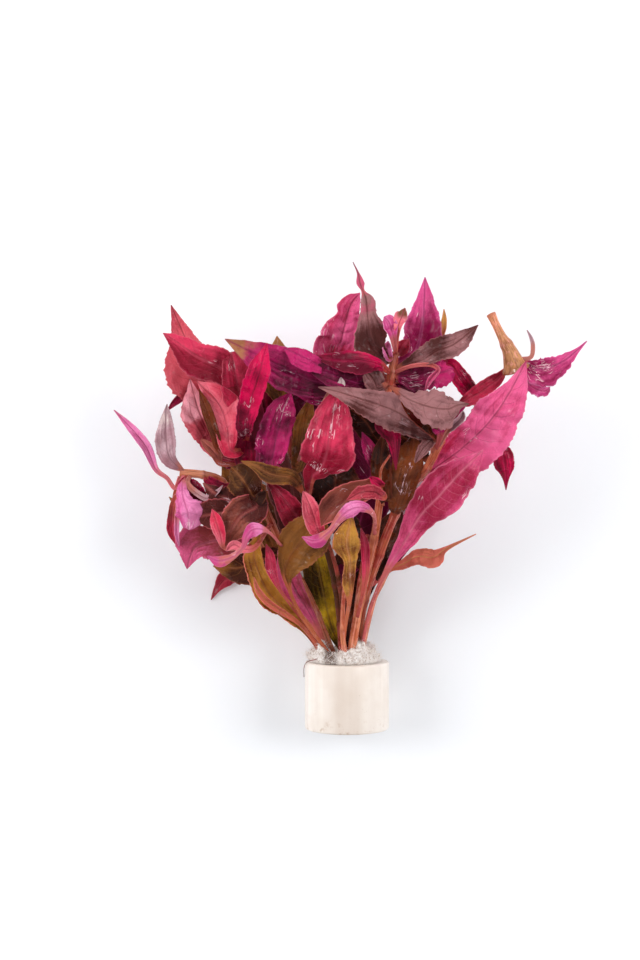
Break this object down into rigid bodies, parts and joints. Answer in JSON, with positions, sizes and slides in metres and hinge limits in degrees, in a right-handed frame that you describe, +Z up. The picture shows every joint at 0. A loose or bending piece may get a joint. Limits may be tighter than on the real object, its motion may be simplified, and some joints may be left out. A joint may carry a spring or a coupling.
{
  "type": "scarlet temple plant",
  "caption": "Bunch of leafy crimson and pink stems, planted with rock wool in a short ceramic ring and lying on its side.",
  "frame": {"origin": "middle of the bunch's box, on the surface that the bunch lies on", "axes": "+Z up from the surface, +Y along the ring's axis out of its mouth towards the leaf tips, +X to the right as seen from above"},
  "size_m": [0.1632, 0.1618, 0.0702],
  "materials": {
    "rose": "satin",
    "crimson": "satin",
    "wine": "satin",
    "umber": "satin",
    "olive": "satin",
    "orchid": "satin",
    "stem": "satin",
    "wool": "fibrous",
    "ceramic": "satin"
  },
  "bodies": {
    "root": {"arching_crimson_leaf": "crimson", "big_centre_leaf": "rose", "big_lower_leaf": "rose", "big_upper_leaf": "rose", "boat_leaf": "olive", "broad_brown_leaf": "olive", "centre_cupped_leaf": "umber", "centre_pink_lip": "orchid", "centre_stem": "stem", "ceramic_ring": "ceramic", "crimson_long_leaf": "crimson", "curled_tip_leaf": "crimson", "dark_band_leaf": "crimson", "dark_right_leaf": "umber", "deep_crimson_leaf": "crimson", "dusk_leaf": "wine", "far_left_leaf": "rose", "far_right_leaf": "rose", "glossy_rose_leaf": "rose", "green_leaf": "olive", "grey_left_leaf": "umber", "hanging_crimson_leaf": "crimson", "hanging_dark_leaf": "crimson", "left_centre_stem": "stem", "left_cupped_leaf": "umber", "left_pink_lip": "orchid", "left_stem": "stem", "long_grey_leaf": "umber", "loose_cutting": "stem", "low_centre_leaf": "wine", "low_left_leaf": "olive", "low_middle_leaf": "umber", "low_right_leaf": "crimson", "lower_left_leaf": "orchid", "lower_tail_leaf": "crimson", "mauve_leaf": "rose", "narrow_crimson_leaf": "crimson", "narrow_rose_leaf": "rose", "olive_tip_leaf": "olive", "orchid_leaf": "orchid", "purple_glossy_leaf": "wine", "purple_wing_leaf": "wine", "red_folded_leaf": "crimson", "right_grey_leaf": "umber", "right_stem": "stem", "rock_wool": "wool", "salmon_leaf": "rose", "side_stem": "stem", "small_orchid_leaf": "orchid", "tall_left_leaf": "rose", "tall_magenta_leaf": "rose", "tall_pink_leaf": "rose", "tan_centre_leaf": "olive", "tan_leaf": "olive", "tendril_leaf": "olive", "top_brown_leaf": "umber", "under_right_leaf": "crimson", "wet_brown_leaf": "olive", "wet_mauve_leaf": "umber"}
  },
  "joints": []
}
